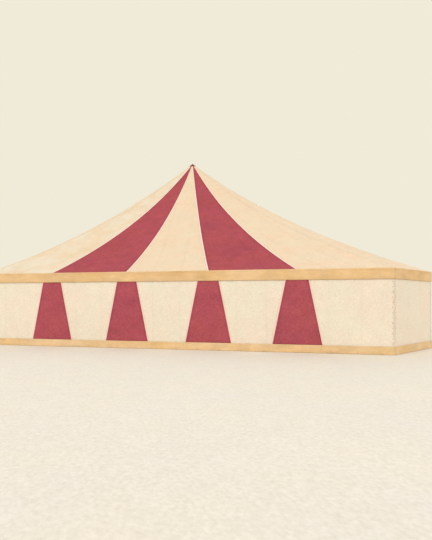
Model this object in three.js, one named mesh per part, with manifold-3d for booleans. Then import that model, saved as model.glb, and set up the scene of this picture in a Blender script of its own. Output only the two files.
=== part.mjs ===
// A circus big top: one king pole under a steep red and cream canvas roof, on a square plan whose
// four corners are cut off, with canvas walls, a gold valance at the eaves and a gold skirt at the
// foot. Millimetres, +Z up, origin on the ground at the centre of the plan, front facing -Y.
//
// The plan is an octagon of 24 equal bays: five in each long side and one across each cut corner.
// Each bay carries one gore of roof canvas and a side pole stands under every roof seam. The gores
// of a long side are cream, red, cream, red, cream, and those across the corners are cream.
import * as THREE from 'three';
import { mergeVertices } from 'three/addons/utils/BufferGeometryUtils.js';
import Module from 'manifold-3d';

const wasm = await Module();
wasm.setup();

// Driving dimensions
const BAY = 3800; // roof seam to roof seam along the walls
const LONG_BAYS = 5; // bays in a long wall; a cut corner has one
const PEAK = 13250; // tip of the peak cap
const EAVE = 3570; // upper edge of the roof canvas at the eaves
const ROOF_SAG = 0.337; // 0 is a straight fall of cloth, 1 is level at the eaves
const VALANCE_DEPTH = 430;
const SKIRT_DEPTH = 345;
const FLARE_TOP = 1000; // width of a red wall panel where the valance covers it
const FLARE_FOOT = 2100; // its width where the skirt covers it

// Thicknesses and clearances
const FIT = 0.3; // air between two pieces that lie against each other
const ROOF_CLOTH = 20;
const WALL_CLOTH = 20;
const FLARE_CLOTH = 8;
const BAND_CLOTH = 12; // valance and skirt
const CAP_CLOTH = 14;
const DRIP = 3; // how far the roof canvas reaches past the valance
const HEM_CLEARANCE = 4; // foot of the skirt above the ground
const TUCK = 60; // how far a red panel runs on behind the valance and the skirt

// Poles and the fitting at the peak
const SIDE_POLE = { radius: 45, foot: 75, footThickness: 10 };
const WALL_RAIL = { radius: 17, drop: 90 }; // drop is from the pole tops to its axis
const KING_POLE = { radius: 110, foot: 320, footThickness: 20, collar: 190, collarHeight: 60, spigot: 80 };
const CROWN = { reach: 0.045, thickness: 45, bore: 82 }; // reach is a share of the way to the eaves
const ROOF_START = 0.009; // the gores begin this share of the way down from the peak
const CAP_REACH = 0.022;
const CAP_TIP = 0.0015;

// Subdivision of the curved pieces
const ROOF_STEPS = 14;
const POLE_SIDES = 16;
const KING_SIDES = 32;

const HALF_MITRE = Math.tan(Math.PI / 8); // the octagon turns 45 degrees at each corner
const BAND_INNER = FLARE_CLOTH + 2 * FIT;
const BAND_OUTER = BAND_INNER + BAND_CLOTH;
const ROOF_OUT = BAND_OUTER + DRIP;
const CLOTH_PEAK = PEAK - CAP_CLOTH - FIT;

const canvas = (color) => new THREE.MeshStandardMaterial({ color, roughness: 0.85, metalness: 0 });
const red = canvas(0xb3555b);
const cream = canvas(0xf5dcba);
const wallCream = canvas(0xf4e2c7);
const gold = canvas(0xe9c089);
const steel = new THREE.MeshStandardMaterial({ color: 0x9a9c9e, roughness: 0.4, metalness: 0.9 });

const bigTop = new THREE.Group();

function addMesh(parent, name, geometry, material) {
  const mesh = new THREE.Mesh(geometry, material);
  mesh.name = name;
  parent.add(mesh);
  return mesh;
}

// The eight sides of the plan. A side's own frame has x along it, to the right as seen from outside,
// and the side itself at y = -distance.
const longHalf = (BAY * LONG_BAYS) / 2;
const HALF_WIDTH = longHalf + BAY / Math.SQRT2;
const LONG = { distance: HALF_WIDTH, half: longHalf };
const CORNER = { distance: (HALF_WIDTH + longHalf) / Math.SQRT2, half: BAY / 2 };
const SIDE_NAMES = [
  'front', 'front_right_corner', 'right', 'back_right_corner',
  'back', 'back_left_corner', 'left', 'front_left_corner',
];

const sides = SIDE_NAMES.map((name, index) => {
  const frame = new THREE.Group();
  frame.rotation.z = (index * Math.PI) / 4;
  bigTop.add(frame);
  const isCorner = index % 2 === 1;
  return { name, frame, isCorner, ...(isCorner ? CORNER : LONG) };
});

// Half the length of a side, measured on a line that runs a distance out from the wall's outer face.
const halfAt = (side, out) => side.half + out * HALF_MITRE;

// The octagon of the plan, a distance out from the walls, as a closed outline.
function planOutline(out, scale = 1) {
  const corners = sides.map((side, index) => {
    const corner = new THREE.Vector2(-halfAt(side, out), -(side.distance + out));
    return corner.rotateAround(new THREE.Vector2(), (index * Math.PI) / 4).multiplyScalar(scale);
  });
  return corners;
}

// Height of the roof canvas's upper face, at a share of the way from the axis to the eaves.
const clothDrop = (share) => share + ROOF_SAG * share * (1 - share);
const roofTop = (share) => CLOTH_PEAK - (CLOTH_PEAK - EAVE) * clothDrop(share);

const roofShares = Array.from(
  { length: ROOF_STEPS + 1 },
  (_, step) => ROOF_START + (1 - ROOF_START) * (step / ROOF_STEPS),
);

// Height of the roof's two faceted faces. The peak cap lies on the upper one, and the lower one
// rests on the walls, the poles and the crown ring.
function roofFacet(share) {
  const position = ((share - ROOF_START) / (1 - ROOF_START)) * ROOF_STEPS;
  const step = Math.min(Math.max(Math.floor(position), 0), ROOF_STEPS - 1);
  const upper = roofTop(roofShares[step]);
  const lower = roofTop(roofShares[step + 1]);
  return upper + (lower - upper) * (position - step);
}
const roofUnderside = (share) => roofFacet(share) - ROOF_CLOTH;

// Top of a piece that reaches a distance out from the wall of a side, just under the roof canvas.
const topUnderRoof = (side, out) =>
  roofUnderside((side.distance + out) / (side.distance + ROOF_OUT)) - FIT;

// A closed body through rings of points that all have the same count and turn the same way.
function loft(rings) {
  const count = rings[0].length;
  const positions = rings.flat().flatMap((point) => [point.x, point.y, point.z]);
  const indices = [];
  for (let ring = 0; ring < rings.length - 1; ring++) {
    for (let corner = 0; corner < count; corner++) {
      const here = ring * count + corner;
      const beside = ring * count + ((corner + 1) % count);
      indices.push(here, beside, beside + count, here, beside + count, here + count);
    }
  }
  const last = (rings.length - 1) * count;
  for (let corner = 1; corner < count - 1; corner++) {
    indices.push(0, corner + 1, corner);
    indices.push(last, last + corner, last + corner + 1);
  }
  const geometry = new THREE.BufferGeometry();
  geometry.setAttribute('position', new THREE.Float32BufferAttribute(positions, 3));
  geometry.setIndex(indices);
  return geometry;
}

// Where the roof seams between the gores of a long side meet its wall.
const innerSeams = Array.from({ length: LONG_BAYS - 1 }, (_, seam) => (seam + 1) * BAY - longHalf);

// Roof canvas: one gore between two seams that run from the peak to the eaves.
function goreGeometry(side, leftEave, rightEave) {
  const distance = side.distance + ROOF_OUT;
  const inset = (eave) => (FIT / 2) * (Math.hypot(eave, distance) / distance);
  const rings = roofShares.map((share) => {
    const left = leftEave * share + inset(leftEave);
    const right = rightEave * share - inset(rightEave);
    const y = -distance * share;
    const top = roofTop(share);
    return [
      new THREE.Vector3(left, y, top - ROOF_CLOTH),
      new THREE.Vector3(right, y, top - ROOF_CLOTH),
      new THREE.Vector3(right, y, top),
      new THREE.Vector3(left, y, top),
    ];
  });
  return loft(rings);
}

function addRoof(side) {
  const end = halfAt(side, ROOF_OUT);
  if (side.isCorner) {
    addMesh(side.frame, `roof_gore_${side.name}`, goreGeometry(side, -end, end), cream);
    return;
  }
  const seams = [-end, ...innerSeams, end];
  for (let gore = 0; gore < LONG_BAYS; gore++) {
    const geometry = goreGeometry(side, seams[gore], seams[gore + 1]);
    const colour = gore % 2 === 0 ? cream : red;
    addMesh(side.frame, `roof_gore_${side.name}_${gore + 1}`, geometry, colour);
  }
}

// Cream wall canvas: one flat curtain a side, mitred to its neighbours at the corner poles. The
// gores of the cut corners come lowest over the mitres, so they set the height of every wall.
const WALL_TOP = topUnderRoof(CORNER, 0);

function addWall(side) {
  const gap = FIT / 2 / Math.cos(Math.PI / 8);
  const outer = halfAt(side, 0) - gap;
  const inner = halfAt(side, -WALL_CLOTH) - gap;
  const outline = new THREE.Shape([
    new THREE.Vector2(-outer, -side.distance),
    new THREE.Vector2(outer, -side.distance),
    new THREE.Vector2(inner, -side.distance + WALL_CLOTH),
    new THREE.Vector2(-inner, -side.distance + WALL_CLOTH),
  ]);
  const geometry = new THREE.ExtrudeGeometry(outline, { depth: WALL_TOP, bevelEnabled: false });
  addMesh(side.frame, `wall_${side.name}`, geometry, wallCream);
}

// The gold bands: the valance hangs at the eaves, and the skirt covers the foot of the wall.
const VALANCE_TOP = topUnderRoof(CORNER, BAND_OUTER);
const VALANCE_FOOT = VALANCE_TOP - VALANCE_DEPTH;

function bandGeometry(depth) {
  const outline = new THREE.Shape(planOutline(BAND_OUTER));
  outline.holes.push(new THREE.Path(planOutline(BAND_INNER)));
  return new THREE.ExtrudeGeometry(outline, { depth, bevelEnabled: false });
}

function addBands() {
  addMesh(bigTop, 'valance', bandGeometry(VALANCE_DEPTH), gold).position.z = VALANCE_FOOT;
  addMesh(bigTop, 'skirt', bandGeometry(SKIRT_DEPTH - HEM_CLEARANCE), gold).position.z = HEM_CLEARANCE;
}

// Red wall panels, sewn on the long walls under the roof seams: narrow at the valance and wide at
// the skirt. Those of one side hang from one header strip behind the valance.
const FLARE_SPREAD = (FLARE_FOOT - FLARE_TOP) / 2 / (VALANCE_FOOT - SKIRT_DEPTH);
const flareHalfWidth = (height) => FLARE_TOP / 2 + (VALANCE_FOOT - height) * FLARE_SPREAD;

function flareOutline() {
  const headerTop = VALANCE_TOP - TUCK;
  const headerFoot = VALANCE_FOOT + TUCK;
  const foot = SKIRT_DEPTH - TUCK;
  const narrow = flareHalfWidth(headerFoot);
  const wide = flareHalfWidth(foot);
  const end = innerSeams.at(-1) + narrow;
  const outline = new THREE.Shape();
  outline.moveTo(end, headerTop);
  outline.lineTo(-end, headerTop);
  for (const seam of innerSeams) {
    outline.lineTo(seam - narrow, headerFoot);
    outline.lineTo(seam - wide, foot);
    outline.lineTo(seam + wide, foot);
    outline.lineTo(seam + narrow, headerFoot);
  }
  outline.closePath();
  return outline;
}

function addFlares(side) {
  const geometry = new THREE.ExtrudeGeometry(flareOutline(), { depth: FLARE_CLOTH, bevelEnabled: false });
  geometry.rotateX(Math.PI / 2); // drawn upright: the extrusion now runs out of the wall
  addMesh(side.frame, `wall_flares_${side.name}`, geometry, red).position.y = -(side.distance + FIT);
}

// Closed meshes to solids and back, for pieces that are joined or cut.
function asManifold(geometry) {
  geometry.deleteAttribute('normal');
  geometry.deleteAttribute('uv');
  const merged = mergeVertices(geometry);
  return new wasm.Manifold(new wasm.Mesh({
    numProp: 3,
    vertProperties: new Float32Array(merged.attributes.position.array),
    triVerts: new Uint32Array(merged.index.array),
  }));
}

function fromManifold(body) {
  const { vertProperties, triVerts } = body.getMesh();
  const geometry = new THREE.BufferGeometry();
  geometry.setAttribute('position', new THREE.Float32BufferAttribute(vertProperties, 3));
  geometry.setIndex(Array.from(triVerts));
  return geometry;
}

// A round pole turned about +Z from a profile of radius and height.
function turned(profile, segments) {
  const points = profile.map(([radius, height]) => new THREE.Vector2(radius, height));
  return new THREE.LatheGeometry(points, segments).rotateX(Math.PI / 2);
}

// Side poles: steel tubes on small foot plates, inside the wall, one under every roof seam. The
// rail that a long wall's curtain hangs from runs through the heads of that side's six poles.
const POLE_INWARD = WALL_CLOTH + FIT + SIDE_POLE.foot;
const POLE_REACH = SIDE_POLE.radius - POLE_INWARD;

function poleBody(x, top) {
  const { radius, foot, footThickness } = SIDE_POLE;
  const profile = [[0, 0], [foot, 0], [foot, footThickness], [radius, footThickness], [radius, top], [0, top]];
  return asManifold(turned(profile, POLE_SIDES).translate(x, 0, 0));
}

function addSidePoles(side) {
  const atCorner = halfAt(side, -POLE_INWARD);
  const cornerTop = topUnderRoof(CORNER, POLE_REACH);
  const rail = new THREE.CylinderGeometry(WALL_RAIL.radius, WALL_RAIL.radius, 2 * atCorner, POLE_SIDES)
    .rotateZ(Math.PI / 2)
    .translate(0, 0, cornerTop - WALL_RAIL.drop);
  let body = asManifold(rail).add(poleBody(-atCorner, cornerTop)).add(poleBody(atCorner, cornerTop));
  for (const seam of innerSeams) {
    body = body.add(poleBody(seam, topUnderRoof(side, POLE_REACH)));
  }
  addMesh(side.frame, `side_poles_${side.name}`, fromManifold(body), steel)
    .position.y = POLE_INWARD - side.distance;
}

// King pole, with the crown ring on its collar. The roof canvas is gathered on the ring's rim.
const CROWN_TOP = roofUnderside(CROWN.reach) - FIT;
const CROWN_FOOT = CROWN_TOP - CROWN.thickness;

function addKingPole() {
  const { radius, foot, footThickness, collar, collarHeight, spigot } = KING_POLE;
  const seat = CROWN_FOOT - FIT;
  const head = roofTop(ROOF_START);
  const profile = [
    [0, 0], [foot, 0], [foot, footThickness], [radius, footThickness],
    [radius, seat - collarHeight], [collar, seat - collarHeight], [collar, seat],
    [spigot, seat], [spigot, head], [0, head],
  ];
  addMesh(bigTop, 'king_pole', turned(profile, KING_SIDES), steel);
}

function addCrownRing() {
  const outline = new THREE.Shape(planOutline(ROOF_OUT, CROWN.reach));
  outline.holes.push(new THREE.Path().absarc(0, 0, CROWN.bore, 0, Math.PI * 2, true));
  const geometry = new THREE.ExtrudeGeometry(outline, {
    depth: CROWN.thickness, bevelEnabled: false, curveSegments: KING_SIDES,
  });
  addMesh(bigTop, 'crown_ring', geometry, steel).position.z = CROWN_FOOT;
}

// Peak cap: a red canvas hood over the top of the gores, hollow below.
function capBody(lift, shares) {
  const ring = (share, height) => planOutline(ROOF_OUT, share)
    .map(({ x, y }) => new THREE.Vector3(x, y, height + lift));
  return loft([...shares.map((share) => ring(share, roofFacet(share))), ring(CAP_TIP, CLOTH_PEAK)]);
}

function addPeakCap() {
  const outside = asManifold(capBody(CAP_CLOTH + FIT, [CAP_REACH]));
  const inside = asManifold(capBody(FIT, [CAP_REACH * 1.1, CAP_REACH]));
  addMesh(bigTop, 'peak_cap', fromManifold(outside.subtract(inside)), red);
}

for (const side of sides) {
  addRoof(side);
  addWall(side);
  if (side.isCorner) continue;
  addFlares(side);
  addSidePoles(side);
}
addBands();
addKingPole();
addCrownRing();
addPeakCap();

export default bigTop;
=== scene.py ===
# A circus big top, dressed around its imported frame: canvas roof, walls and bands on steel poles.
# Metres, +Z up, origin on the ground at the centre of the plan, front facing -Y.
import math

import bmesh
import bpy
import numpy as np
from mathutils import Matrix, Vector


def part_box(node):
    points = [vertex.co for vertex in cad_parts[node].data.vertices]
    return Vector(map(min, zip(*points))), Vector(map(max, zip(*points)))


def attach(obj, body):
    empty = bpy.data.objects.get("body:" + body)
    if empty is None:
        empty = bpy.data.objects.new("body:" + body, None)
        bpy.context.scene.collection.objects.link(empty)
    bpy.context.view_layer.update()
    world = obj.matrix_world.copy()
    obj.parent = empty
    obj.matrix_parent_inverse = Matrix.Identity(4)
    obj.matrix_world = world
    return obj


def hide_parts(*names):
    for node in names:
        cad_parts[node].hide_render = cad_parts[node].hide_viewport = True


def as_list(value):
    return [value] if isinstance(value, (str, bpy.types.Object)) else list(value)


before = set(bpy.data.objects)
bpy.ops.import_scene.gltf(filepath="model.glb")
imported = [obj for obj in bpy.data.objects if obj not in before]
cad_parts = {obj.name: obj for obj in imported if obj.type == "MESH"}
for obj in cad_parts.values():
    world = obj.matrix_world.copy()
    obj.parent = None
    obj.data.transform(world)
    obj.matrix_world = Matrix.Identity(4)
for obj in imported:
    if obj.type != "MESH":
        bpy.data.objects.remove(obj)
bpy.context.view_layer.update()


# King pole, crown ring and side poles
# Welded steel tube under dull grey paint, seen only from below or past a drawn curtain. The CAD
# shapes stay. The paint has chalked in streaks, and is chipped through to the steel in spots.
SIDE_POLE_GREY, KING_POLE_GREY, BARE_STEEL = (156, 152, 144), (150, 146, 138), (128, 124, 118)
SIDE_POLE_CHIP, KING_POLE_CHIP = 0.018, 0.03  # how wide a chip is
PAINT_COAT = 0.0006  # how deep a chip is


def fill(tree, node, inputs):
    """Fills a node's inputs with values, or with links from sockets or other nodes."""
    for socket, value in dict(inputs).items():
        if isinstance(value, bpy.types.Node):
            value = value.outputs[0]
        if isinstance(value, bpy.types.NodeSocket):
            tree.links.new(value, node.inputs[socket])
        else:
            node.inputs[socket].default_value = value


def place(tree, kind, inputs=(), **settings):
    """Adds a node, sets its properties and fills its inputs."""
    node = tree.nodes.new(kind)
    for setting, value in settings.items():
        setattr(node, setting, value)
    fill(tree, node, inputs)
    return node


def calc(tree, operation, *values):
    """A Math node on values, sockets or nodes."""
    return place(tree, "ShaderNodeMath", enumerate(values), operation=operation)


def new_group(kind, name, inputs, outputs):
    """A node group: its tree, what it is given and its output node.

    Each of its sockets has a name, a type and, where it is left alone in use, a value.
    """
    tree = bpy.data.node_groups.new(name, kind)
    for way, sockets in (("INPUT", inputs), ("OUTPUT", outputs)):
        for socket, socket_type, *value in sockets:
            made = tree.interface.new_socket(
                socket, in_out=way, socket_type="NodeSocket" + socket_type)
            if value:
                made.default_value = value[0]
    return tree, tree.nodes.new("NodeGroupInput").outputs, tree.nodes.new("NodeGroupOutput")


def linear(red, green, blue):
    """An 8-bit sRGB colour as the shader's linear RGBA."""
    shares = [value / 255 for value in (red, green, blue)]
    return (*[s / 12.92 if s <= 0.04045 else ((s + 0.055) / 1.055) ** 2.4 for s in shares], 1.0)


def new_material(name, **plain):
    """A material, its tree, its Principled BSDF with the plain values set, and its position."""
    material = bpy.data.materials.new(name)
    material.use_nodes = True
    tree = material.node_tree
    shader = tree.nodes["Principled BSDF"]
    for socket, value in plain.items():
        shader.inputs[socket.replace("_", " ")].default_value = value
    return material, tree, shader, place(tree, "ShaderNodeTexCoord").outputs["Object"]


def noise(tree, position, scale, detail, roughness=0.5):
    """Noise from 0 to 1, with so many patches to a metre."""
    made = place(
        tree, "ShaderNodeTexNoise",
        {"Vector": position, "Scale": scale, "Detail": detail, "Roughness": roughness})
    return made.outputs["Fac"]


def stretched(tree, position, scale):
    """A position scaled along each of its axes, which stretches what is drawn by it."""
    return place(tree, "ShaderNodeMapping", {"Vector": position, "Scale": scale})


def shaded(tree, colour, shade):
    """A colour made lighter or darker."""
    return place(
        tree, "ShaderNodeVectorMath", {0: colour, "Scale": shade}, operation="SCALE")


def mixed(tree, share, colour, other):
    """A colour that turns into another one as the share goes from 0 to 1."""
    return place(
        tree, "ShaderNodeMix", {0: share, 6: colour, 7: other}, data_type="RGBA").outputs[2]


def relief(tree, height, strength, distance, **settings):
    """The surface's normal, bent by small relief."""
    return place(
        tree, "ShaderNodeBump", {"Height": height, "Strength": strength, "Distance": distance},
        **settings)


def worn_paint_group():
    """Paint with chalky rain streaks, and the spots where it is chipped through to the steel."""
    tree, given, end = new_group(
        "ShaderNodeTree", "worn_paint",
        [("Position", "Vector"), ("Chip", "Float"), ("Chalk", "Float", 0.3)],
        [("Shade", "Float"), ("Roughness", "Float"), ("Bare", "Float")])
    knocks = noise(tree, given["Position"], calc(tree, "DIVIDE", 1.0, given["Chip"]), 3.0)
    bare = place(
        tree, "ShaderNodeMapRange", {"Value": knocks, "From Min": 0.70, "From Max": 0.72})
    streaks = noise(tree, stretched(tree, given["Position"], (12, 12, 0.8)), 1.0, 4.0)
    chalk = calc(tree, "MULTIPLY", streaks, given["Chalk"])
    shade, roughness = (calc(tree, "ADD", chalk, least) for least in (0.85, 0.40))
    fill(tree, end, {"Shade": shade, "Roughness": roughness, "Bare": bare})
    return tree


def painted_steel(name, grey, chip):
    """Worn grey paint over bare steel."""
    material, tree, shader, position = new_material(name)
    coat = place(
        tree, "ShaderNodeGroup", {"Position": position, "Chip": chip},
        node_tree=worn_paint).outputs
    paint = shaded(tree, linear(*grey)[:3], coat["Shade"])
    fill(tree, shader, {
        "Base Color": mixed(tree, coat["Bare"], paint, linear(*BARE_STEEL)),
        "Metallic": coat["Bare"], "Roughness": coat["Roughness"],
        "Normal": relief(tree, coat["Bare"], 0.4, PAINT_COAT, invert=True)})
    return material


worn_paint = worn_paint_group()
pole_paint = painted_steel("side_pole_paint", SIDE_POLE_GREY, SIDE_POLE_CHIP)
king_paint = painted_steel("king_pole_paint", KING_POLE_GREY, KING_POLE_CHIP)

painted = {"side_poles_" + side: pole_paint for side in ("front", "right", "back", "left")}
painted |= {"king_pole": king_paint, "crown_ring": king_paint}
for node, paint in painted.items():
    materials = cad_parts[node].data.materials
    materials.clear()
    materials.append(paint)


# Wall curtains
# Cream canvas, one curtain to each of the eight sides, hung from the pole heads down to the
# ground. Each is sewn from upright cloth widths with flat-felled seams, and hemmed all round.
BAY = 3.8
LONG_BAYS = 5
CLOTH_WIDTH = BAY / 3
CURTAIN_CLOTH = 0.003
CURTAIN_MEAN = 0.010  # the curtain's face lies this far inside the wall line
CURTAIN_FOLD = 0.0065  # height of its folds
FOLD_LENGTHS = (0.63, 1.07)  # two rows of folds, uneven together
CURTAIN_HEM = 0.09
CURTAIN_COLUMN, CURTAIN_ROWS = 0.1, 25  # how finely its mesh is cut
FELL = 0.011  # half the width of a felled seam
FELL_RISE = 0.0012
GROUND_CLEAR = 0.003  # its foot, above the ground
CRISP = math.radians(20)  # a sewn step is steeper than this, and a fold is softer
CORNER_TURN = math.pi / 4  # how far the plan turns at each of its eight corners
MITRE = math.tan(CORNER_TURN / 2)

SIDE_NAMES = (
    "front", "front_right_corner", "right", "back_right_corner",
    "back", "back_left_corner", "left", "front_left_corner")


class Side:
    """One side of the plan. Along runs to the right as seen from outside, from its middle."""

    def __init__(self, index):
        long_half = BAY * LONG_BAYS / 2
        long_line = -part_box("wall_front")[0].y
        self.name = SIDE_NAMES[index]
        self.index = index
        self.turn = index * CORNER_TURN
        self.is_corner = index % 2 == 1
        self.half = BAY / 2 if self.is_corner else long_half
        self.line = (long_line + long_half) / math.sqrt(2) if self.is_corner else long_line
        beside = (index - 1, (index + 1) % 8) if self.is_corner else (index,)
        self.poles = ["side_poles_" + SIDE_NAMES[i] for i in beside]
        self.facing = self.point(0, 1, 0) - self.point(0, 0, 0)

    def half_at(self, out):
        """Half its length on a line that far out, where it meets its neighbours."""
        return self.half + out * MITRE

    def seams(self):
        """Where the roof seams inside this side meet it."""
        bays = 1 if self.is_corner else LONG_BAYS
        return [BAY * bay - self.half for bay in range(1, bays)]

    def point(self, along, out, height):
        """Points from metres along the side, out from its wall line, and up."""
        along, out, height = np.broadcast_arrays(along, out, height)
        away = self.line + out
        cos, sin = math.cos(self.turn), math.sin(self.turn)
        return np.stack([along * cos + away * sin, along * sin - away * cos, height], axis=-1)


sides = [Side(index) for index in range(8)]
long_sides = [side for side in sides if not side.is_corner]


def smooth(value, start, end):
    """0 before start, 1 past end, with an easy curve between."""
    share = np.clip((value - start) / (end - start), 0, 1)
    return share * share * (3 - 2 * share)


def steps_at(values, lines, half_width, lip=0.002):
    """The values, with two more at each edge of a raised line, for its crisp step."""
    edges = [line + side * reach for line in lines for side in (-1, 1)
             for reach in (half_width, half_width + lip)]
    inside = [edge for edge in edges if values[0] < edge < values[-1]]
    return np.unique(np.concatenate([values, inside]))


def raised(values, lines, half_width):
    """1 on a raised line and 0 beside it."""
    on = np.zeros_like(values)
    for line in lines:
        on[np.abs(values - line) <= half_width + 1e-6] = 1
    return on


def thickened(piece, thickness):
    """A cloth piece made as thick as its canvas, crisp at its sewn steps and soft elsewhere."""
    piece.data.shade_smooth()
    piece.data.set_sharp_from_angle(angle=CRISP)
    solid = piece.modifiers.new("Cloth thickness", "SOLIDIFY")
    solid.thickness = thickness
    solid.offset = -1
    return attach(piece, "root")


def cloth(name, points, across, along, seam_gap, material, thickness):
    """A sheet through rows of points that run to the right and upwards as seen from outside.

    Across and along are its pattern in metres. The seam gap is the way to its nearest sewn edge.
    """
    rows, columns = points.shape[:2]
    corner = np.arange(rows * columns).reshape(rows, columns)
    faces = np.stack(
        [corner[:-1, :-1], corner[:-1, 1:], corner[1:, 1:], corner[1:, :-1]], axis=-1)
    faces = faces.reshape(-1, 4)
    mesh = bpy.data.meshes.new(name)
    mesh.from_pydata(points.reshape(-1, 3).tolist(), [], faces.tolist())
    pattern = np.stack(np.broadcast_arrays(across, along), axis=-1).reshape(-1, 2)
    mesh.uv_layers.new(name="Cloth").data.foreach_set("uv", pattern[faces.ravel()].ravel())
    gaps = np.broadcast_to(seam_gap, (rows, columns)).astype(np.float32).ravel()
    mesh.attributes.new("seam_gap", "FLOAT", "POINT").data.foreach_set("value", gaps)
    mesh.materials.append(material)
    piece = bpy.data.objects.new(name, mesh)
    bpy.context.scene.collection.objects.link(piece)
    return thickened(piece, thickness)


def vector(tree, x=0.0, y=0.0, z=0.0):
    """A vector from values, sockets or nodes."""
    return place(tree, "ShaderNodeCombineXYZ", {0: x, 1: y, 2: z})


def colour_wash_group():
    """Cloth colour that pools and fades as a wash does, in broad, middling and fine patches.

    Lint is how much pale fluff and dark dust lie over the dye.
    """
    tree, given, end = new_group(
        "ShaderNodeTree", "colour_wash",
        [("Position", "Vector"), ("Dye", "Color"), ("Drift", "Color"), ("Pools", "Float"),
         ("Blots", "Float"), ("Grain", "Float"), ("Lint", "Float")],
        [("Color", "Color"), ("Wash", "Float")])

    def patches(scale, detail, offset):
        """Noise round 0, with so many patches to a metre."""
        shifted = place(
            tree, "ShaderNodeVectorMath", {0: given["Position"], 1: offset}, operation="ADD")
        spots = noise(tree, shifted, scale, detail, roughness=0.55)
        return calc(tree, "MULTIPLY_ADD", spots, 5.0, -2.5)

    wash = 1.0
    for strength, scale, detail, offset in (
            ("Pools", 0.42, 3.0, (3.1, 7.7, 1.3)), ("Blots", 2.1, 2.0, (9.2, 1.4, 4.8)),
            ("Grain", 13.0, 3.0, (0.6, 5.5, 8.9))):
        wash = calc(tree, "MULTIPLY_ADD", patches(scale, detail, offset), given[strength], wash)
    drifting = calc(tree, "MULTIPLY_ADD", patches(0.8, 2.0, (6.3, 2.9, 0.4)), 0.4, 0.5)
    hue = mixed(tree, drifting, given["Dye"], given["Drift"])
    lint = calc(tree, "MULTIPLY", patches(18.0, 2.0, (4.4, 8.1, 2.7)), given["Lint"])
    dusted = place(
        tree, "ShaderNodeVectorMath",
        {0: shaded(tree, hue, wash), 1: vector(tree, lint, lint, lint)}, operation="ADD")
    fill(tree, end, {"Color": dusted, "Wash": wash})
    return tree


def canvas_weave_group():
    """Relief of plain-woven canvas: crossing threads, and thicker slubs along both ways."""
    tree, given, end = new_group(
        "ShaderNodeTree", "canvas_weave",
        [("Cloth", "Vector"), ("Thread", "Float")], [("Height", "Float")])
    turns = calc(tree, "DIVIDE", 2 * math.pi, given["Thread"])
    ways = place(tree, "ShaderNodeSeparateXYZ", {0: given["Cloth"]}).outputs
    threads = calc(tree, "MULTIPLY", *(
        calc(tree, "SINE", calc(tree, "MULTIPLY", ways[i], turns)) for i in (0, 1)))
    slubs = calc(tree, "ADD", *(
        noise(tree, stretched(tree, given["Cloth"], long_way), 1.0, 2.0)
        for long_way in ((90, 3, 1), (3, 90, 1))))
    fill(tree, end, {"Height": calc(tree, "MULTIPLY_ADD", threads, 0.12, slubs)})
    return tree


def stitch_rows_group():
    """Two rows of stitches beside a sewn edge, sunk in the cloth, and painted shade beside the seam.
    """
    tree, given, end = new_group(
        "ShaderNodeTree", "stitch_rows",
        [("Gap", "Float"), ("Along", "Float"), ("First", "Float", 0.012),
         ("Second", "Float", 0.030), ("Pitch", "Float", 0.010), ("Dirt reach", "Float", 0.2)],
        [("Stitches", "Float"), ("Dirt", "Float")])
    rows = []
    for row in ("First", "Second"):
        off = calc(tree, "ABSOLUTE", calc(tree, "SUBTRACT", given["Gap"], given[row]))
        rows.append(calc(tree, "LESS_THAN", off, 0.0013))
    beat = calc(tree, "FRACT", calc(tree, "DIVIDE", given["Along"], given["Pitch"]))
    stitches = calc(
        tree, "MULTIPLY", calc(tree, "MAXIMUM", *rows), calc(tree, "LESS_THAN", beat, 0.65))
    # Painted shade beside a sewn edge: darkest on the seam, gone past the reach.
    seam_shading = place(
        tree, "ShaderNodeMapRange",
        {"Value": given["Gap"], "From Min": 0.0, "From Max": given["Dirt reach"],
         "To Min": 1.0, "To Max": 0.0}, interpolation_type="SMOOTHSTEP")
    fill(tree, end, {"Stitches": stitches, "Dirt": seam_shading})
    return tree


def canvas_material(name, dye, drift, wash, painted_seam_shade, thread=0.004, slow_way=(1, 1, 1)):
    """Dyed canvas. Wash is how strong its pools, blots, grain and lint are."""
    material, tree, shader, position = new_material(
        name, Roughness=0.86, Specular_IOR_Level=0.12, Sheen_Weight=0.02, Sheen_Roughness=0.6)
    pattern = place(tree, "ShaderNodeUVMap", uv_map="Cloth")
    gap = place(tree, "ShaderNodeAttribute", attribute_name="seam_gap").outputs["Fac"]
    colour = place(
        tree, "ShaderNodeGroup",
        {"Position": stretched(tree, position, slow_way), "Dye": dye, "Drift": drift,
         **dict(zip(("Pools", "Blots", "Grain", "Lint"), wash))}, node_tree=colour_wash).outputs
    weave = place(
        tree, "ShaderNodeGroup", {"Cloth": pattern, "Thread": thread}, node_tree=canvas_weave)
    sewn = place(
        tree, "ShaderNodeGroup",
        {"Gap": gap, "Along": place(tree, "ShaderNodeSeparateXYZ", {0: pattern}).outputs[1]},
        node_tree=stitch_rows).outputs
    # Painted shade: the canvas is darkened towards its sewn edges.
    shade = calc(tree, "MULTIPLY_ADD", sewn["Dirt"], -painted_seam_shade, 1.0)
    shade = calc(tree, "MULTIPLY_ADD", sewn["Stitches"], -0.05, shade)
    height = calc(tree, "MULTIPLY_ADD", sewn["Stitches"], -0.4, weave)
    fill(tree, shader, {
        "Base Color": shaded(tree, colour["Color"], shade),
        "Roughness": calc(tree, "MULTIPLY_ADD", colour["Wash"], -0.1, 0.95),
        "Normal": relief(tree, height, 0.35, 0.0012)})
    return material


colour_wash = colour_wash_group()
canvas_weave = canvas_weave_group()
stitch_rows = stitch_rows_group()

wall_cream = canvas_material(
    "wall_cream_canvas", dye=linear(231, 223, 201), drift=linear(236, 218, 198),
    wash=(0.014, 0.020, 0.045, 0.030), painted_seam_shade=0.01)


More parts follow.
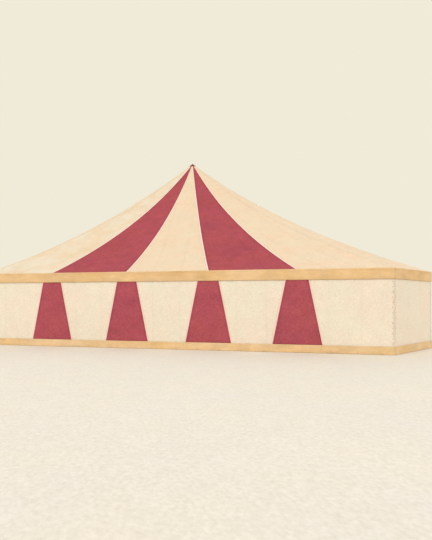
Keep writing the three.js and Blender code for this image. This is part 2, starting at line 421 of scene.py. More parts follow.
def curtain_inset(side, along, height):
    """How far a curtain's face lies inside the wall line: soft upright folds between the poles."""
    narrow, broad = (2 * math.pi * along / length for length in FOLD_LENGTHS)
    lean = 0.5 * np.sin(1.1 * height + side.index)
    folds = 0.6 * np.sin(narrow + lean)
    folds = folds + 0.4 * np.sin(broad + 1.3 * side.index + 0.6 * lean)
    free = smooth(side.half - np.abs(along), 0.05, 0.8)  # flat at the laced ends
    hung = 0.55 + 0.45 * smooth(height, 0.5, 3.3)  # deepest at the head
    return CURTAIN_MEAN - CURTAIN_FOLD * folds * free * hung


for side in sides:
    foot, head = GROUND_CLEAR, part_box("wall_" + side.name)[1].z
    reach = side.half_at(-CURTAIN_MEAN)
    widths = int(round(2 * side.half / CLOTH_WIDTH))
    fells = [CLOTH_WIDTH * width - side.half for width in range(1, widths)]
    columns = int(2 * reach / CURTAIN_COLUMN)
    along = steps_at(np.linspace(-reach, reach, columns), fells, FELL)
    height = steps_at(np.linspace(foot, head, CURTAIN_ROWS), [foot, head], CURTAIN_HEM)
    grid_along, grid_height = np.meshgrid(along, height)
    thicker = np.maximum(
        raised(grid_along, fells, FELL), raised(grid_height, [foot, head], CURTAIN_HEM))
    out = FELL_RISE * thicker - curtain_inset(side, grid_along, grid_height)
    gap = np.min([np.abs(grid_along - fell) for fell in fells], axis=0)
    curtain = cloth(
        "curtain_" + side.name, side.point(grid_along, out, grid_height),
        grid_along, grid_height, gap, wall_cream, CURTAIN_CLOTH)
    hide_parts("wall_" + side.name)
    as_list(side.poles)


# Red wall panels
# Red canvas, sewn flat on the long curtains under each roof seam: narrow behind the valance and
# twice as wide behind the skirt. Cream binding tape covers the two slanting edges.
PANEL_TOP = 1.0  # width where the valance covers it
PANEL_FOOT = 2.1  # width where the skirt covers it
PANEL_CLOTH = 0.0015
PANEL_LIFT = 0.0035  # its face, out from the curtain's
PANEL_ROWS, PANEL_COLUMNS = 30, 19
BINDING = {"Width": 0.07, "Thickness": 0.002, "Bow": 0.0}

valance_foot, valance_head = (corner.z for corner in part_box("valance"))
skirt_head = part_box("skirt")[1].z


def attribute(tree, name, kind="FLOAT"):
    """A named attribute that the points of a path or a section bring along."""
    return place(tree, "GeometryNodeInputNamedAttribute", {"Name": name}, data_type=kind)


def stored(tree, shape, name, value, **settings):
    """A shape with a named attribute stored on it."""
    return place(
        tree, "GeometryNodeStoreNamedAttribute",
        {"Geometry": shape, "Name": name, "Value": value}, **settings)


def patterned(tree, shape, across, along):
    """A shape with its cloth pattern in metres."""
    return stored(
        tree, shape, "Cloth", vector(tree, across, along), data_type="FLOAT2", domain="CORNER")


def outward_curve(tree, mesh):
    """A mesh's edges as a curve whose normals point outward."""
    curve = place(tree, "GeometryNodeMeshToCurve", {"Mesh": mesh})
    return place(
        tree, "GeometryNodeSetCurveNormal",
        {"Curve": curve, "Normal": attribute(tree, "outward", "FLOAT_VECTOR")}, mode="FREE")


def finish_shape(tree, end, output, shape, material):
    """Ends a tree that makes a shape: its instances made real, and its material set."""
    real = place(tree, "GeometryNodeRealizeInstances", {0: shape})
    coloured = place(tree, "GeometryNodeSetMaterial", {"Geometry": real, "Material": material})
    fill(tree, end, {output: coloured})
    return tree


def tape_group():
    """Flat tape along paths whose points say which way is outward, bowed across its width."""
    tree, given, end = new_group(
        "GeometryNodeTree", "flat_tape",
        [("Path", "Geometry"), ("Width", "Float"), ("Thickness", "Float"), ("Bow", "Float"),
         ("Material", "Material")],
        [("Tape", "Geometry")])
    run = place(tree, "GeometryNodeSplineParameter").outputs["Length"]
    line = stored(tree, outward_curve(tree, given["Path"]), "run", run)
    section = place(
        tree, "GeometryNodeCurvePrimitiveQuadrilateral",
        {"Width": given["Thickness"], "Height": given["Width"]})
    section = place(tree, "GeometryNodeSubdivideCurve", {"Curve": section, "Cuts": 1})
    spread = place(
        tree, "ShaderNodeSeparateXYZ", {0: place(tree, "GeometryNodeInputPosition")}).outputs[1]
    share = calc(tree, "DIVIDE", spread, given["Width"])
    sunk = calc(tree, "MULTIPLY", calc(tree, "MULTIPLY", share, share), given["Bow"])
    # 4 times the square of a half is 1, so the tape's edges sink by all of the bow.
    dip = vector(tree, calc(tree, "MULTIPLY", sunk, -4.0))
    section = place(
        tree, "GeometryNodeSetPosition",
        {"Geometry": stored(tree, section, "spread", spread), "Offset": dip})
    swept = place(
        tree, "GeometryNodeCurveToMesh",
        {"Curve": line, "Profile Curve": section, "Scale": attribute(tree, "taper"),
         "Fill Caps": True})
    swept = patterned(tree, swept, attribute(tree, "spread"), attribute(tree, "run"))
    return finish_shape(tree, end, "Tape", swept, given["Material"])


def grown(name, paths, group, joined=True, marks=None, thickness=None, **inputs):
    """A plain mesh grown by a node group on paths of (points, outward directions, taper).

    Marks are more values for its points, and a thickness makes it cloth.
    """
    points = np.concatenate([path[0] for path in paths])
    outward = np.concatenate([np.broadcast_to(path[1], path[0].shape) for path in paths])
    taper = np.concatenate([np.broadcast_to(path[2], len(path[0])) for path in paths])
    edges, start = [], 0
    for path, _, _ in paths:
        if joined:
            edges += [(start + i, start + i + 1) for i in range(len(path) - 1)]
        start += len(path)
    seed = bpy.data.meshes.new(name)
    seed.from_pydata(points.tolist(), edges, [])
    seed.attributes.new("outward", "FLOAT_VECTOR", "POINT").data.foreach_set(
        "vector", outward.astype(np.float32).ravel())
    marks = {"seam_gap": np.ones(len(points)), "taper": taper, **(marks or {})}
    for label, values in marks.items():
        seed.attributes.new(label, "FLOAT", "POINT").data.foreach_set(
            "value", values.astype(np.float32))
    piece = bpy.data.objects.new(name, seed)
    bpy.context.scene.collection.objects.link(piece)
    modifier = piece.modifiers.new("Nodes", "NODES")
    modifier.node_group = group
    sockets = {item.name: item.identifier for item in group.interface.items_tree
               if item.in_out == "INPUT"}
    for socket, value in inputs.items():
        modifier[sockets[socket]] = value
    graph = bpy.context.evaluated_depsgraph_get()
    made = bpy.data.meshes.new_from_object(
        piece.evaluated_get(graph), preserve_all_data_layers=True, depsgraph=graph)
    piece.modifiers.clear()
    piece.data = made
    return thickened(piece, thickness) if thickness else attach(piece, "root")


def panel_half_width(height):
    """Half a red panel's width at a height: its two edges slant evenly."""
    spread = (PANEL_FOOT - PANEL_TOP) / 2 / (valance_foot - skirt_head)
    return PANEL_TOP / 2 + (valance_foot - height) * spread


flat_tape = tape_group()
wall_red = canvas_material(
    "wall_red_canvas", dye=linear(172, 82, 87), drift=linear(168, 77, 91),
    wash=(0.05, 0.07, 0.085, 0.014), painted_seam_shade=0.18)
pale_webbing = canvas_material(
    "pale_webbing", dye=linear(246, 212, 199), drift=linear(243, 208, 194),
    wash=(0.01, 0.01, 0.02, 0.01), painted_seam_shade=0.0, thread=0.006)

binding_paths = []
for side in long_sides:
    foot, head = (corner.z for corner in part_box("wall_flares_" + side.name))
    height = np.linspace(foot, head, PANEL_ROWS)
    across = np.linspace(-1, 1, PANEL_COLUMNS)
    for number, seam in enumerate(side.seams(), start=1):
        grid_across, grid_height = np.meshgrid(across, height)
        half = panel_half_width(grid_height)
        along = seam + grid_across * half
        out = PANEL_LIFT - curtain_inset(side, along, grid_height)
        panel = cloth(
            f"red_panel_{side.name}_{number}", side.point(along, out, grid_height),
            along - seam, grid_height, (1 - np.abs(grid_across)) * half, wall_red, PANEL_CLOTH)
        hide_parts("wall_flares_" + side.name)
        widest = 2 * panel_half_width(foot)
        (head - foot) * (panel_half_width(foot) + panel_half_width(head))
        for edge in (-1, 1):
            line = seam + edge * panel_half_width(height)
            lift = PANEL_LIFT + BINDING["Thickness"] / 2 - curtain_inset(side, line, height)
            binding_paths.append((side.point(line, lift, height), side.facing, 1.0))

binding = grown("panel_binding", binding_paths, flat_tape, Material=pale_webbing, **BINDING)


# Roof canvas
# One gore of canvas to a bay, from the crown ring to the eaves: red and cream in turn on the long
# sides, cream on the cut corners. Under tension each hollows between its seams, puckers where it
# is gathered at the crown, and creases out of the pole heads.
ROOF_SAG = 0.337
ROOF_SOLID = 0.020  # thickness of the CAD gores
CAP_SOLID = 0.0143  # thickness of the CAD peak cap with its clearance
GORE_START = 0.009  # the gores begin at this share of the way from the axis to the eaves
ROOF_CLOTH = 0.003
HOLLOW = {"share": 0.020, "most": 0.070}  # between a gore's seams: a share of its width
PUCKERS = {"number": 5, "share": 0.007, "reach": 0.26}  # share of the width, at the crown
PULLS = {"number": 3, "height": 0.004}  # from the crown down
WAVE_HEIGHT = 0.004
CREASES = {"rays": 6, "height": 0.009, "reach": 0.7}  # out of each pole head
GATHERS = {"number": 8, "height": 0.003, "reach": 0.4}  # up from the eaves
EAVE_HEM = 0.07
HEM_RISE = 0.001
HEM_STEP = 0.00015  # share of the slope over which the hem rises
STRAIGHT_SHARE = 0.05  # of the slope, at the eaves, that is as good as straight
GORE_ROWS, GORE_COLUMNS = 118, 34
FELL_POINTS = 90
FELL_END = 1.04  # a felled seam ends just before it runs into a roof seam
FELL_TAPE = {"Width": 2 * FELL, "Thickness": 0.002, "Bow": 0.0}
GORE_CANVAS = {"1": "bleached", "2": "red", "4": "red"}  # by number on a long side, else cream

cloth_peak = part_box("peak_cap")[1].z - CAP_SOLID
eave_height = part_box("roof_gore_front_3")[0].z + ROOF_SOLID
roof_out = -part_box("roof_gore_front_3")[0].y - sides[0].line
fall = cloth_peak - eave_height


def roof_height(share):
    """The roof's height, at a share of the way from the peak to the eaves."""
    return cloth_peak - fall * (share + ROOF_SAG * share * (1 - share))


def roof_tilt(side, share):
    """The roof's angle from level, at a share of the way to the eaves."""
    return np.arctan(fall * (1 + ROOF_SAG - 2 * ROOF_SAG * share) / (side.line + roof_out))


def slope_length(side, share):
    """Metres of cloth from the eaves up to a share, measured straight up the gore's middle."""
    shares = np.linspace(0, 1, 400)
    steps = (side.line + roof_out) / np.cos(roof_tilt(side, shares)) * (shares[1] - shares[0])
    below = np.concatenate([np.cumsum(steps[::-1])[::-1], [0]])
    return np.interp(share, np.append(shares, shares[-1] + shares[1]), below)


def on_roof(side, along, share, lift):
    """Points over the roof, at metres along the side and a share of the way down."""
    tilt = roof_tilt(side, share)
    out = (side.line + roof_out) * share - side.line + lift * np.sin(tilt)
    return side.point(along, out, roof_height(share) + lift * np.cos(tilt))


def roof_facing(side, share, turn=0.0):
    """The ways out from the roof, at shares of the way down, and turned to a corner if asked."""
    tilt = roof_tilt(side, share)[:, None]
    level = np.array([math.sin(side.turn + turn), -math.cos(side.turn + turn), 0])
    return np.sin(tilt) * level + np.cos(tilt) * np.array([0, 0, 1])


class Gore:
    """The canvas between two roof seams, by where those seams reach the eaves."""

    def __init__(self, name, side, left, right, seed):
        self.name, self.side, self.left, self.right = name, side, left, right
        self.phase = np.random.default_rng(seed).uniform(0, 2 * math.pi, 7)

    def along(self, across, share):
        """Metres along the side, for how far across the gore a point is."""
        return (self.left + (self.right - self.left) * across) * share

    def lift(self, across, share):
        """How far the cloth's face stands off the straight line between its seams."""
        width = (self.right - self.left) * share
        up = slope_length(self.side, share)
        turns = 2 * math.pi * across
        between = 4 * across * (1 - across)  # 0 on the seams and 1 midway
        free = between * smooth(share, 0.05, 0.16) * smooth(1 - share, 0.0, 0.09)
        lift = -np.minimum(HOLLOW["share"] * width, HOLLOW["most"]) * free
        puckers = np.sin(PUCKERS["number"] * turns + self.phase[0])
        fading = np.exp(-(share / PUCKERS["reach"]) ** 2)
        lift = lift + PUCKERS["share"] * width * puckers * free * fading
        pulls = np.sin(PULLS["number"] * turns + self.phase[1] + 1.5 * share)
        lift = lift + PULLS["height"] * pulls * free
        waves = np.sin(2.6 * up + 5 * across + self.phase[2])
        waves = waves + np.sin(1.5 * up - 4 * across + self.phase[3])
        lift = lift + WAVE_HEIGHT * waves * free
        for inward, phase in ((across, self.phase[4]), (1 - across, self.phase[5])):
            beside = inward * width
            away = np.hypot(beside, up) / CREASES["reach"]
            angle = np.arctan2(beside, up)
            strength = CREASES["height"] * away * np.exp(1 - away) * smooth(beside, 0.03, 0.2)
            rays = np.sin(CREASES["rays"] * angle + phase)
            lift = lift + strength * rays * np.sin(2 * angle)
        gathers = np.sin(GATHERS["number"] * turns + self.phase[6]) - 1
        return lift + GATHERS["height"] * gathers * between * np.exp(-up / GATHERS["reach"])

    def point(self, across, share, extra=0.0):
        """Points on the gore's face, or an extra height over it."""
        lift = self.lift(across, share) + extra
        return on_roof(self.side, self.along(across, share), share, lift)


gores = []
for side in sides:
    edges = [-side.half_at(roof_out), *side.seams(), side.half_at(roof_out)]
    for number, (left, right) in enumerate(zip(edges, edges[1:]), start=1):
        label = side.name if side.is_corner else f"{side.name}_{number}"
        gores.append(Gore(label, side, left, right, seed=10 * side.index + number))

roof_cream = canvas_material(
    "roof_cream_canvas", dye=linear(221, 204, 174), drift=linear(226, 198, 167),
    wash=(0.016, 0.022, 0.045, 0.030), painted_seam_shade=0.03)
roof_bleached = canvas_material(
    "roof_bleached_canvas", dye=linear(221, 194, 159), drift=linear(222, 211, 189),
    wash=(0.022, 0.026, 0.045, 0.030), painted_seam_shade=0.03)
roof_red = canvas_material(
    "roof_red_canvas", dye=linear(166, 72, 75), drift=linear(161, 68, 80),
    wash=(0.055, 0.07, 0.085, 0.014), painted_seam_shade=0.20)

roof_canvas = {
    "cream": (roof_cream, "roof_cream"), "bleached": (roof_bleached, "roof_cream"),
    "red": (roof_red, "roof_red")}
fell_paths = {kind: [] for kind in roof_canvas}
for gore in gores:
    kind = GORE_CANVAS.get(gore.name[-1], "cream")
    material, slot = roof_canvas[kind]
    hem_share = 1 - EAVE_HEM / slope_length(gore.side, 1 - STRAIGHT_SHARE) * STRAIGHT_SHARE
    share = np.linspace(GORE_START, 1, GORE_ROWS)
    share = np.unique([*share, hem_share, hem_share - HEM_STEP])[::-1]
    across = np.linspace(0, 1, GORE_COLUMNS)
    grid_across, grid_share = np.meshgrid(across, share)
    width = (gore.right - gore.left) * grid_share
    hem = HEM_RISE * (grid_share >= hem_share - 1e-9)
    lateral = (grid_across - 0.5) * width
    up = slope_length(gore.side, share)
    canvas = cloth(
        "canvas_gore_" + gore.name, gore.point(grid_across, grid_share, hem),
        lateral, slope_length(gore.side, grid_share), width / 2 - np.abs(lateral),
        material, ROOF_CLOTH)
    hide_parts("roof_gore_" + gore.name)
    eave_width = gore.right - gore.left
    area = (eave_width * (share[:-1] + share[1:]) / 2 * np.diff(up)).sum()
    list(gore.side.poles)
    top = CLOTH_WIDTH / eave_width  # where the gore is as narrow as its middle width of cloth
    line = np.linspace(1, top * FELL_END, FELL_POINTS)
    for edge in (-1, 1):
        spot = 0.5 + edge * CLOTH_WIDTH / 2 / (eave_width * line)
        fell = gore.point(spot, line, FELL_TAPE["Thickness"] / 2)
        fell_paths[kind].append((fell, roof_facing(gore.side, line), 1.0))

for kind, (material, slot) in roof_canvas.items():
    fells = grown(
        f"roof_{kind}_fells", fell_paths[kind], flat_tape, Material=material, **FELL_TAPE)


# Seam webbing
# Pale woven webbing sewn over each roof seam, from under the peak cap to the eaves. It carries the
# pull from the crown ring to the pole heads, and shows as a thin light line beside the red.
WEBBING = {"Width": 0.07, "Thickness": 0.003}
WEBBING_START, WEBBING_END = 0.017, 0.9987  # it ends short, tucked under the valance's lap
WEBBING_POINTS = 70
WEBBING_NARROW = 0.4  # share of its width that is left at the crown
WEBBING_CLEAR = 0.001  # between it and the canvas
BOW_ON_SLOPE, BOW_ON_CORNER = 0.004, 0.0125


def seam_path(side, eave_along, share, turn=0.0):
    """A roof seam's line, the way it faces and its taper, for where the seam meets the eaves."""
    facing = roof_facing(side, share, turn)
    taper = WEBBING_NARROW + (1 - WEBBING_NARROW) * smooth(share, 0.0, 0.45)
    over_hem = 1.5 * HEM_RISE * smooth(share, 0.97, 0.985)
    lift = taper * WEBBING["Thickness"] / 2 + WEBBING_CLEAR + over_hem
    line = on_roof(side, eave_along * share, share, 0.0) + lift[:, None] * facing
    return line, facing, taper


share = np.linspace(WEBBING_START, WEBBING_END, WEBBING_POINTS)
slope_seams = [seam_path(side, seam, share) for side in long_sides for seam in side.seams()]
corner_seams = [
    seam_path(side, side.half_at(roof_out), share, CORNER_TURN / 2) for side in sides]
for name, paths, bow, material in (
        ("seam_webbing_slopes", slope_seams, BOW_ON_SLOPE, pale_webbing),
        ("seam_webbing_corners", corner_seams, BOW_ON_CORNER, roof_cream)):
    webbing = grown(name, paths, flat_tape, Material=material, Bow=bow, **WEBBING)


# Peak cap
# A hood of red canvas with eight small gores, drawn down over the tops of the big ones to keep
# rain out of the crown. Its hem is turned in and its tip is doubled.
CAP_REACH, CAP_TIP = 0.022, 0.0015  # shares of the way to the eaves
CAP_FACE = 0.0125  # how far its outside stands off the gores
CAP_FABRIC = 0.003
CAP_PUFF = 0.004  # how far its own gores bulge
CAP_HEM = 0.05  # share of its length that is hem
CAP_HEM_RISE = 0.0012
CAP_ROWS, CAP_COLUMNS = 26, 10
CAP_WELD = 0.0002  # points nearer than this are one, at the cap's seams and its tip

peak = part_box("peak_cap")[1].z
cap_share = np.append(np.linspace(CAP_TIP, CAP_REACH, CAP_ROWS), CAP_REACH * (1 - CAP_HEM))
cap_share = np.append(np.unique(cap_share)[::-1], 0)
cap_parts = []
for side in sides:
    spot, down = np.meshgrid(np.linspace(-1, 1, CAP_COLUMNS + 1), cap_share)
    puff = (1 - spot ** 2) * CAP_PUFF * np.sin(math.pi * down / CAP_REACH)
    hem = CAP_HEM_RISE * (down >= CAP_REACH * (1 - CAP_HEM) - 1e-9)
    along = spot * side.half_at(roof_out) * down
    points = on_roof(side, along, down, CAP_FACE + puff + hem)
    points[-1] = (0, 0, peak)
    cap_parts.append((points, along, slope_length(side, down)))
points, along, up = (np.concatenate([part[i] for part in cap_parts], axis=1) for i in range(3))
cap_red = canvas_material(
    "cap_red_canvas", dye=linear(134, 48, 56), drift=linear(124, 42, 54),
    wash=(0.04, 0.05, 0.03, 0.004), painted_seam_shade=0.0)
cap = cloth("peak_hood", points, along, up, 1.0, cap_red, CAP_FABRIC)
weld = bmesh.new()
weld.from_mesh(cap.data)
bmesh.ops.remove_doubles(weld, verts=weld.verts, dist=CAP_WELD)
weld.to_mesh(cap.data)
weld.free()
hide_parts("peak_cap")
cap_lengths = [slope_length(side, 0) - slope_length(side, CAP_REACH) for side in sides]
cap_widths = [2 * side.half_at(roof_out) * CAP_REACH for side in sides]


# Valance
# The gold band at the eaves: one straight strip of canvas to a side, lapped over the edge of the
# roof, sewn to it and hanging free, with a wide hem at its foot. It hides the wall's fastenings.
BAND_CLOTH = 0.003
BAND_FACE = 0.0165  # its outside, out from the wall line
VALANCE_WAVE = 0.0021  # height of its ripple
RIPPLE_LENGTHS = (0.46, 0.83)  # a short ripple and a long one, uneven together
BAND_HEM = 0.05
BAND_HEM_RISE = 0.0015
BAND_COLUMN, BAND_ROWS = 0.09, 13  # how finely its mesh is cut
BEND = {"from": 0.06, "to": 0.01}  # below its head, where it turns out past the roof's edge
LAP = {"out": 0.0005, "over": 0.005, "back": 0.036}  # from the roof's edge
GOLD_DYE_AND_SEAM_SHADE = {  # long blotches, and little painted seam shade
    "wash": (0.04, 0.08, 0.04, 0.02), "slow_way": (0.8, 0.8, 1.8), "painted_seam_shade": 0.02}

valance_gold = canvas_material(
    "valance_gold_canvas", dye=linear(220, 181, 126), drift=linear(228, 194, 149),
    **GOLD_DYE_AND_SEAM_SHADE)


def gold_strip_group():
    """A strip of cloth swept along a side from its section, mitred at its ends and rippled."""
    tree, given, end = new_group(
        "GeometryNodeTree", "gold_strip",
        [("Section", "Geometry"), ("Half length", "Float"), ("Wall line", "Float"),
         ("Turn", "Float"), ("Mitre", "Float"), ("Columns", "Int"), ("Phase", "Float"),
         ("Material", "Material")],
        [("Strip", "Geometry")])
    half = given["Half length"]
    start, stop = (vector(tree, y=calc(tree, "MULTIPLY", half, way)) for way in (-1.0, 1.0))
    length = place(tree, "GeometryNodeCurvePrimitiveLine", {"Start": start, "End": stop})
    length = place(
        tree, "GeometryNodeResampleCurve", {"Curve": length, "Count": given["Columns"]})
    swept = place(
        tree, "GeometryNodeCurveToMesh",
        {"Curve": outward_curve(tree, given["Section"]), "Profile Curve": length})
    along, toward, height = place(
        tree, "ShaderNodeSeparateXYZ", {0: place(tree, "GeometryNodeInputPosition")}).outputs
    swept = patterned(tree, swept, height, along)
    out = calc(tree, "SUBTRACT", calc(tree, "MULTIPLY", toward, -1.0), given["Wall line"])
    longer = calc(tree, "DIVIDE", calc(tree, "MULTIPLY", out, given["Mitre"]), half)
    free = place(
        tree, "ShaderNodeMapRange",
        {"Value": calc(tree, "SUBTRACT", half, calc(tree, "ABSOLUTE", along)),
         "From Min": 0.02, "From Max": 0.5}, interpolation_type="SMOOTHSTEP")
    short, long = (
        calc(tree, "SINE", calc(
            tree, "MULTIPLY_ADD", along, 2 * math.pi / ripple_length,
            calc(tree, "MULTIPLY", given["Phase"], phases)))
        for ripple_length, phases in zip(RIPPLE_LENGTHS, (1.0, 2.0)))
    ripple = calc(tree, "MULTIPLY_ADD", long, 0.6, short)
    ripple = calc(tree, "MULTIPLY", calc(tree, "MULTIPLY", ripple, free), attribute(tree, "sway"))
    shift = vector(
        tree, calc(tree, "MULTIPLY", along, longer), calc(tree, "MULTIPLY", ripple, -1.0))
    hung = place(tree, "GeometryNodeSetPosition", {"Geometry": swept, "Offset": shift})
    turn = place(tree, "FunctionNodeEulerToRotation", {0: vector(tree, z=given["Turn"])})
    placed = place(tree, "GeometryNodeTransform", {"Geometry": hung, "Rotation": turn})
    return finish_shape(tree, end, "Strip", placed, given["Material"])


def band(name, side, line, hems, sway, gold):
    """One side's strip of a gold band, with hems at the given heights.

    Its line is the (height, out) of each bend from its foot to its head. Sway is how far its
    ripple moves it at a height.
    """
    heights, outs = np.transpose(line)
    height = np.unique([*np.linspace(heights[0], heights[-1], BAND_ROWS), *heights])
    height = steps_at(height, hems, BAND_HEM)
    face = np.interp(height, heights, outs) + BAND_HEM_RISE * raised(height, hems, BAND_HEM)
    section = np.stack([np.zeros_like(face), -side.line - face, height], axis=-1)
    gap = np.min([np.abs(height - edge) for edge in hems], axis=0)
    reach = side.half_at(BAND_FACE)
    strip = grown(
        name, [(section, np.array([0.0, -1.0, 0.0]), 1.0)], gold_strip,
        marks={"seam_gap": gap, "sway": sway(height)}, thickness=BAND_CLOTH, Material=gold,
        Mitre=MITRE, Turn=side.turn, Phase=float(side.index),
        Columns=int(2 * reach / BAND_COLUMN), **{"Half length": side.half, "Wall line": side.line})
    return strip


gold_strip = gold_strip_group()
past_edge = roof_out + BAND_CLOTH + LAP["out"]
bend_foot, bend_head = valance_head - BEND["from"], valance_head - BEND["to"]
lap_foot = eave_height + LAP["over"]
for side in sides:
    lap_head = lap_foot + LAP["back"] * math.tan(roof_tilt(side, 1))
    strip = band(
        "gold_valance_" + side.name, side,
        [(valance_foot, BAND_FACE), (bend_foot, BAND_FACE), (bend_head, past_edge),
         (lap_foot, past_edge), (lap_head, past_edge - LAP["back"])], [valance_foot],
        lambda height: VALANCE_WAVE * (1 - smooth(height, valance_foot, bend_foot)),
        valance_gold)
    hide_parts("valance")


# Skirt
# The gold band at the ground: canvas sewn over the foot of the wall to keep out wind and splash.
# Both edges are hemmed, and brass eyelets along the lower hem take the pegs in bad weather.
SKIRT_WAVE = 0.00175
EYELET = {"Radius": 0.016, "Wire": 0.0035}
EYELET_SPACING = 0.95
EYELET_HEIGHT = 0.032  # above the ground

# Painted light: the skirt's gold is a paler copy of the valance's, painted lighter to make up for the
# shade it gets so near the ground.
skirt_gold_painted_light = canvas_material(
    "skirt_gold_canvas", dye=linear(223, 186, 132), drift=linear(231, 199, 156), **GOLD_DYE_AND_SEAM_SHADE)

skirt_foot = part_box("skirt")[0].z
for side in sides:
    strip = band(
        "gold_skirt_" + side.name, side, [(skirt_foot, BAND_FACE), (skirt_head, BAND_FACE)],
        [skirt_foot, skirt_head],
        lambda height: SKIRT_WAVE * (1 - smooth(height, skirt_foot, skirt_head)), skirt_gold_painted_light)
    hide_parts("skirt")


def eyelet_group():
    """A rolled brass ring on every point, facing outward."""
    tree, given, end = new_group(
        "GeometryNodeTree", "brass_eyelets",
        [("Points", "Geometry"), ("Radius", "Float"), ("Wire", "Float"),
         ("Material", "Material")],
        [("Eyelets", "Geometry")])
    rim, wire = (
        place(
            tree, "GeometryNodeCurvePrimitiveCircle",
            {"Resolution": corners, "Radius": given[radius]})
        for corners, radius in ((14, "Radius"), (6, "Wire")))
    ring = place(tree, "GeometryNodeCurveToMesh", {"Curve": rim, "Profile Curve": wire})
    ring = place(tree, "GeometryNodeSetShadeSmooth", {"Geometry": ring})
    facing = place(
        tree, "FunctionNodeAlignRotationToVector",
        {"Vector": attribute(tree, "outward", "FLOAT_VECTOR")}, axis="Z")
    spread = place(
        tree, "GeometryNodeInstanceOnPoints",
        {"Points": given["Points"], "Instance": ring, "Rotation": facing})
    return finish_shape(tree, end, "Eyelets", spread, given["Material"])


def brass_material():
    """Rolled brass that has dulled in the hollows and stays bright where it is handled."""
    material, tree, shader, position = new_material("eyelet_brass", Metallic=0.9)
    tarnish = noise(tree, position, 60.0, 3.0)
    fill(tree, shader, {
        "Base Color": mixed(tree, tarnish, linear(196, 158, 92), linear(140, 108, 66)),
        "Roughness": calc(tree, "MULTIPLY_ADD", tarnish, 0.4, 0.2)})
    return material


brass_eyelets = eyelet_group()
eyelet_brass = brass_material()
skirt_eyelets = []
for side in sides:
    count = int(2 * side.half // EYELET_SPACING)
    along = (np.arange(count) - (count - 1) / 2) * EYELET_SPACING
    face = BAND_FACE + BAND_HEM_RISE + SKIRT_WAVE
    skirt_eyelets.append((side.point(along, face, EYELET_HEIGHT), side.facing, 1.0))
eyelets = grown(
    "skirt_eyelets", skirt_eyelets, brass_eyelets, joined=False, Material=eyelet_brass, **EYELET)


# Corner lacing
# White cotton line that laces each pair of curtains together at the eight corners of the plan,
# over and under through brass eyelets, so that any side can be unlaced and drawn aside.
LACE_RADIUS = 0.006
LACE_CROSSINGS = 13
LACE_IN = 0.075  # from the corner to each row of eyelets
LACE_FROM, LACE_TO = 0.45, 3.02
LACE_BEHIND, LACE_BEFORE = 0.008, 0.007  # how far the line passes behind and before the canvas
LACE_ACROSS = 0.002  # where it crosses the corner, out from the wall line
EYELET_LIFT = 0.001  # a ring's middle, out from the canvas


def lace_group():
    """Round line along paths, closed at its ends."""
    tree, given, end = new_group(
        "GeometryNodeTree", "lacing_line",
        [("Path", "Geometry"), ("Radius", "Float"), ("Material", "Material")],
        [("Line", "Geometry")])
    line = place(tree, "GeometryNodeMeshToCurve", {"Mesh": given["Path"]})
    section = place(
        tree, "GeometryNodeCurvePrimitiveCircle", {"Resolution": 8, "Radius": given["Radius"]})
    swept = place(
        tree, "GeometryNodeCurveToMesh",
        {"Curve": line, "Profile Curve": section, "Fill Caps": True})
    return finish_shape(tree, end, "Line", swept, given["Material"])


def line_material():
    """Laid cotton line: twisted strands, a little grey where it is handled."""
    material, tree, shader, position = new_material("cotton_line", Roughness=0.9, Sheen_Weight=0.1)
    strands = place(
        tree, "ShaderNodeTexWave", {"Vector": position, "Scale": 45.0, "Distortion": 1.0},
        wave_type="BANDS", bands_direction="DIAGONAL").outputs["Fac"]
    fill(tree, shader, {
        "Base Color": mixed(tree, strands, linear(206, 192, 168), linear(232, 220, 198)),
        "Normal": relief(tree, strands, 0.5, 0.002)})
    return material


lacing_line = lace_group()
lace_paths, lace_eyelets = [], []
lace_height = np.linspace(LACE_FROM, LACE_TO, LACE_CROSSINGS)
for side in sides:
    mate = sides[(side.index + 1) % 8]
    ends = []
    for owner, edge in ((side, 1), (mate, -1)):
        spot = edge * (owner.half_at(-CURTAIN_MEAN) - LACE_IN)
        holes = owner.point(spot, -curtain_inset(owner, spot, lace_height), lace_height)
        ends.append((holes, owner.facing))
        lace_eyelets.append((holes + EYELET_LIFT * owner.facing, owner.facing, 1.0))
    path = []
    for crossing in range(LACE_CROSSINGS):
        holes, facing = ends[crossing % 2]
        path += [holes[crossing] - LACE_BEHIND * facing, holes[crossing] + LACE_BEFORE * facing]
        if crossing + 1 < LACE_CROSSINGS:
            height = lace_height[crossing:crossing + 2].mean()
            path.append(side.point(side.half_at(0.0), LACE_ACROSS, height))
            holes, facing = ends[(crossing + 1) % 2]
            path.append(holes[crossing + 1] + LACE_BEFORE * facing)
    lace_paths.append((np.array(path), np.array([0.0, 0.0, 1.0]), 1.0))
lacing = grown(
    "corner_lacing", lace_paths, lacing_line, Material=line_material(), Radius=LACE_RADIUS)
eyelets = grown(
    "lacing_eyelets", lace_eyelets, brass_eyelets, joined=False, Material=eyelet_brass, **EYELET)


# Ground, light and camera
# A plain pale floor under an even pale sky, with soft suns high left, low right and behind. The
# camera looks level from just over a visitor's head, close in and a little right of the middle.
FLOOR_HALF = 400.0
CAMERA_AZIMUTH = math.radians(5.66)
CAMERA_DISTANCE = 28.0
CAMERA_HEIGHT = 2.23
CAMERA_TURN = math.radians(10.67)  # to the left of straight back
PICTURE_WIDTH, PICTURE_HEIGHT = 432, 540
FOCAL_PIXELS = 346.1
SIGHT_X, SIGHT_Y = 162.3, 300.7  # where the level line of sight meets the picture

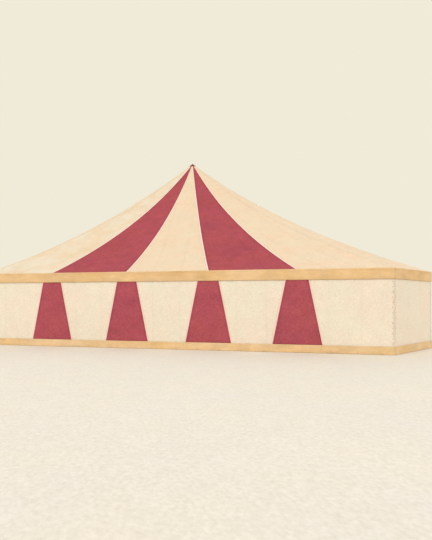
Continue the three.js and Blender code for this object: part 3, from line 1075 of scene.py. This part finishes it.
floor_mesh = bpy.data.meshes.new("floor")
floor_mesh.from_pydata(
    [(x * FLOOR_HALF, y * FLOOR_HALF, 0) for x, y in ((-1, -1), (1, -1), (1, 1), (-1, 1))],
    [], [(0, 1, 2, 3)])
floor = bpy.data.objects.new("floor", floor_mesh)
bpy.context.scene.collection.objects.link(floor)
floor_finish, tree, shader, position = new_material(
    "pale_floor", Roughness=1.0, Specular_IOR_Level=0.0)
colour = place(
    tree, "ShaderNodeGroup",
    {"Position": position, "Dye": linear(224, 218, 206), "Drift": linear(226, 218, 202),
     "Pools": 0.006, "Blots": 0.010, "Grain": 0.02, "Lint": 0.04}, node_tree=colour_wash)
fill(tree, shader, {"Base Color": colour.outputs["Color"]})
floor_mesh.materials.append(floor_finish)

scene = bpy.context.scene
scene.view_settings.view_transform = "Standard"
sky = bpy.data.worlds.new("pale_sky")
sky.use_nodes = True
sky_tree = sky.node_tree
lit = sky_tree.nodes["Background"]
fill(sky_tree, lit, {0: (1.0, 0.99, 0.975, 1), 1: 0.92})
shown = place(sky_tree, "ShaderNodeBackground", {0: linear(240, 235, 216), 1: 1.0})
seen = place(sky_tree, "ShaderNodeLightPath").outputs["Is Camera Ray"]
either = place(sky_tree, "ShaderNodeMixShader", {0: seen, 1: lit, 2: shown})
fill(sky_tree, sky_tree.nodes["World Output"], {0: either})
scene.world = sky

for name, azimuth, elevation, strength, softness in (
        ("sun_high_left", -38, 48, 0.75, 25), ("sun_low_right", 35, 18, 0.45, 60),
        ("sun_behind", 175, 35, 0.35, 60)):
    lamp = bpy.data.lights.new(name, "SUN")
    lamp.energy = strength
    lamp.angle = math.radians(softness)
    lamp.color = (1.0, 0.985, 0.96)
    sun = bpy.data.objects.new(name, lamp)
    sun.rotation_euler = (math.radians(90 - elevation), 0, math.radians(azimuth))
    scene.collection.objects.link(sun)

lens = bpy.data.cameras.new("level_view")
lens.sensor_width = 36
lens.lens = FOCAL_PIXELS / PICTURE_HEIGHT * lens.sensor_width
lens.shift_x = (PICTURE_WIDTH / 2 - SIGHT_X) / PICTURE_HEIGHT
lens.shift_y = (SIGHT_Y - PICTURE_HEIGHT / 2) / PICTURE_HEIGHT
lens.clip_end = 2000
camera = bpy.data.objects.new("camera", lens)
camera.location = (
    CAMERA_DISTANCE * math.sin(CAMERA_AZIMUTH), -CAMERA_DISTANCE * math.cos(CAMERA_AZIMUTH),
    CAMERA_HEIGHT)
camera.rotation_euler = (math.pi / 2, 0, CAMERA_TURN)
scene.collection.objects.link(camera)
scene.camera = camera
